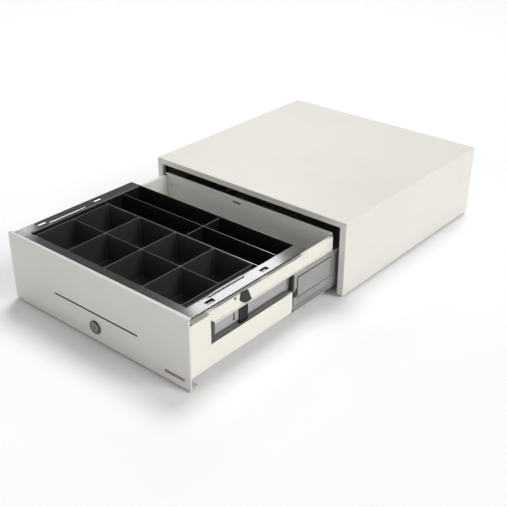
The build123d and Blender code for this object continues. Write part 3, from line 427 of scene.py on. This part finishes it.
# ---------------------------------------------------------------------------
# Small pieces that the CAD leaves out
# ---------------------------------------------------------------------------
def piece(name, body, mat, bm):
    me = bpy.data.meshes.new(name)
    bmesh.ops.recalc_face_normals(bm, faces=bm.faces)
    bm.to_mesh(me)
    bm.free()
    o = bpy.data.objects.new(name, me)
    scene.collection.objects.link(o)
    o.data.materials.append(M[mat])
    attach(o, body)
    return o


def tube(bm, pts, r, n=8):
    """A round wire through the points, closed at both ends."""
    rings = []
    side = None
    for k, p in enumerate(pts):
        d = (pts[min(k + 1, len(pts) - 1)] - pts[max(k - 1, 0)]).normalized()
        if side is None:
            side = d.orthogonal().normalized()
        side = (side - d * side.dot(d)).normalized()
        up_ = d.cross(side)
        rings.append([bm.verts.new(p + (side * math.cos(2 * math.pi * j / n) + up_ * math.sin(2 * math.pi * j / n)) * r)
                      for j in range(n)])
    for a, b in zip(rings, rings[1:]):
        for j in range(n):
            bm.faces.new((a[j], a[(j + 1) % n], b[(j + 1) % n], b[j])).smooth = True
    bm.faces.new(rings[0])
    bm.faces.new(rings[-1][::-1])


def lathe(bm, centre, axis, profile, n=28):
    """A turned shape: profile is (distance along the axis, radius) in millimetres, from one end to the other."""
    axis = Vector(axis).normalized()
    u = axis.orthogonal().normalized()
    w = axis.cross(u)
    rings = []
    for h, r in profile:
        c = centre + axis * h * 0.001
        if r < 1e-6:
            rings.append([bm.verts.new(c)])
        else:
            rings.append([bm.verts.new(c + (u * math.cos(2 * math.pi * j / n) + w * math.sin(2 * math.pi * j / n)) * r * 0.001)
                          for j in range(n)])
    for a, b in zip(rings, rings[1:]):
        for j in range(n):
            k = (j + 1) % n
            if len(a) == 1 and len(b) == 1:
                continue
            if len(a) == 1:
                bm.faces.new((a[0], b[k], b[j])).smooth = True
            elif len(b) == 1:
                bm.faces.new((a[j], a[k], b[0])).smooth = True
            else:
                bm.faces.new((a[j], a[k], b[k], b[j])).smooth = True


def crease(o, width, angle=35, segments=2):
    b = o.modifiers.new("edge", "BEVEL")
    b.width = width * 0.001
    b.segments = segments
    b.limit_method = "ANGLE"
    b.angle_limit = math.radians(angle)
    b.use_clamp_overlap = True
    b.harden_normals = True


# black guide between the front panel's paper slot and the tray
bm = bmesh.new()
outer = [(-93.0, 42.9), (93.0, 42.9), (93.0, 47.3), (-93.0, 47.3)]
inner = [(-90.2, 43.9), (90.2, 43.9), (90.2, 46.3), (-90.2, 46.3)]
wide = [(-90.8, 43.4), (90.8, 43.4), (90.8, 46.8), (-90.8, 46.8)]
loops = []
for ring, y in ((outer, -333.75), (outer, -320.3), (wide, -320.3), (inner, -324.0), (inner, -333.75)):
    loops.append([bm.verts.new(at(x, y, z)) for x, z in ring])
for a, b in zip(loops, loops[1:] + loops[:1]):
    for j in range(4):
        bm.faces.new((a[j], a[(j + 1) % 4], b[(j + 1) % 4], b[j]))
chute = piece("paper_chute", "drawer", "black", bm)
crease(chute, 0.15)

# blind plugs in the round holes of the strips
for s_, side_name in ((1, "right"), (-1, "left")):
    bm = bmesh.new()
    lathe(bm, at(s_ * 183.7, -235.8, 97.6), (s_, 0, 0),
          [(0.0, 0.0), (0.0, 3.0), (-0.7, 3.0), (-0.7, 1.0), (-0.2, 0.7), (-0.2, 0.0)][::-1])
    piece("hole_plug_" + side_name, "drawer", "black", bm)

# wound springs in place of the CAD's ringed bars
bm = bmesh.new()
turns, n, mean, x0, x1 = 12, 18, 2.0, 17.0, 35.3
pts = [at(14.6, 395.5, 43.0), at(15.6, 395.5, 43.0 - 0.1)]
for k in range(turns * n + 1):
    a = 2 * math.pi * k / n
    pts.append(at(x0 + (x1 - x0) * k / (turns * n), 395.5 + mean * math.sin(a), 43.0 - mean * math.cos(a)))
pts += [at(36.8, 395.5, 43.0 - 0.1), at(37.7, 395.5, 43.0)]
tube(bm, pts, 0.00036)
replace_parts(piece("latch_spring_wire", "cabinet", "spring", bm), "latch_spring")

bm = bmesh.new()
for xc in (-111.0, 129.0):
    pts = []
    turns = 5
    for k in range(turns * 24 + 49):
        a = 2 * math.pi * k / 24
        lift = min(max(k - 24, 0), turns * 24) / (turns * 24)
        pts.append(at(xc + 4.0 * math.sin(a), 336.2 + 8.2 * lift, 30 + 4.0 * math.cos(a)))
    tube(bm, pts, 0.00055)
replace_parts(piece("ejector_spring_wire", "cabinet", "spring", bm), "ejector_springs")


# ---------------------------------------------------------------------------
# Floor and light
# ---------------------------------------------------------------------------
def floor():
    me = bpy.data.meshes.new("floor")
    s = 14.0
    me.from_pydata([(-s, -s, 0), (s, -s, 0), (s, s, 0), (-s, s, 0)], [], [(0, 1, 2, 3)])
    o = bpy.data.objects.new("floor", me)
    scene.collection.objects.link(o)
    o.location.z = -0.0003
    f = Shader("pale_floor", (0.95, 0.95, 0.955, 1), 0.7, specular=0.1)
    o.data.materials.append(f.mat)


floor()


def sweep_wall():
    """Low pale wall far round the floor, rising from it in a curve, so that level views end on paper rather than sky."""
    bm = bmesh.new()
    profile = [(11.0, -0.0002), (12.2, 0.06), (13.1, 0.30), (13.7, 0.80), (14.0, 1.6), (14.0, 4.6)]
    rings = []
    for r, z in profile:
        rings.append([bm.verts.new((r * math.cos(2 * math.pi * j / 72), r * math.sin(2 * math.pi * j / 72), z)) for j in range(72)])
    for a, b in zip(rings, rings[1:]):
        for j in range(72):
            bm.faces.new((a[j], b[j], b[(j + 1) % 72], a[(j + 1) % 72])).smooth = True
    me = bpy.data.meshes.new("sweep_wall")
    bm.to_mesh(me)
    bm.free()
    o = bpy.data.objects.new("sweep_wall", me)
    scene.collection.objects.link(o)
    o.data.materials.append(bpy.data.materials["pale_floor"])


sweep_wall()

world = bpy.data.worlds.new("studio")
scene.world = world
world.use_nodes = True
world.node_tree.nodes["Background"].inputs["Color"].default_value = (1.0, 1.0, 1.0, 1)
world.node_tree.nodes["Background"].inputs["Strength"].default_value = 0.21


def sun(name, direction, strength, angle):
    d = bpy.data.lights.new(name, "SUN")
    d.energy = strength
    d.angle = math.radians(angle)
    o = bpy.data.objects.new(name, d)
    scene.collection.objects.link(o)
    o.location = Vector(direction) * 3
    o.rotation_euler = (-Vector(direction)).to_track_quat("-Z", "Y").to_euler()
    return o


def card(name, target, along, across, power, distance=2.2):
    """A soft card placed where a level surface at target mirrors it into the camera, lying along the object's depth."""
    v = (target - cam.matrix_world.translation).normalized()
    r = Vector((v.x, v.y, -v.z))
    d = bpy.data.lights.new(name, "AREA")
    d.shape = "RECTANGLE"
    d.size, d.size_y = along, across
    d.energy = power
    o = bpy.data.objects.new(name, d)
    scene.collection.objects.link(o)
    x = (Vector((0, 1, 0)) - r * r.y).normalized()
    z = r
    y = z.cross(x)
    mm = Matrix(((x.x, y.x, z.x, 0), (x.y, y.y, z.y, 0), (x.z, y.z, z.z, 0), (0, 0, 0, 1)))
    mm.translation = target + r * distance
    o.matrix_world = mm
    o.visible_camera = False
    return o


sun("key", (-0.20, 0.50, 1.0), 1.40, 24)
sun("side", (1.0, 0.26, 0.80), 1.58, 30)
sun("fill", (0.25, -1.0, 0.48), 0.34, 46)
card("rim_card", at(177, -226, 111.8), 0.40, 0.17, 2.8)
card("corner_card", at(-182, -309, 111.8), 0.07, 0.035, 0.12)
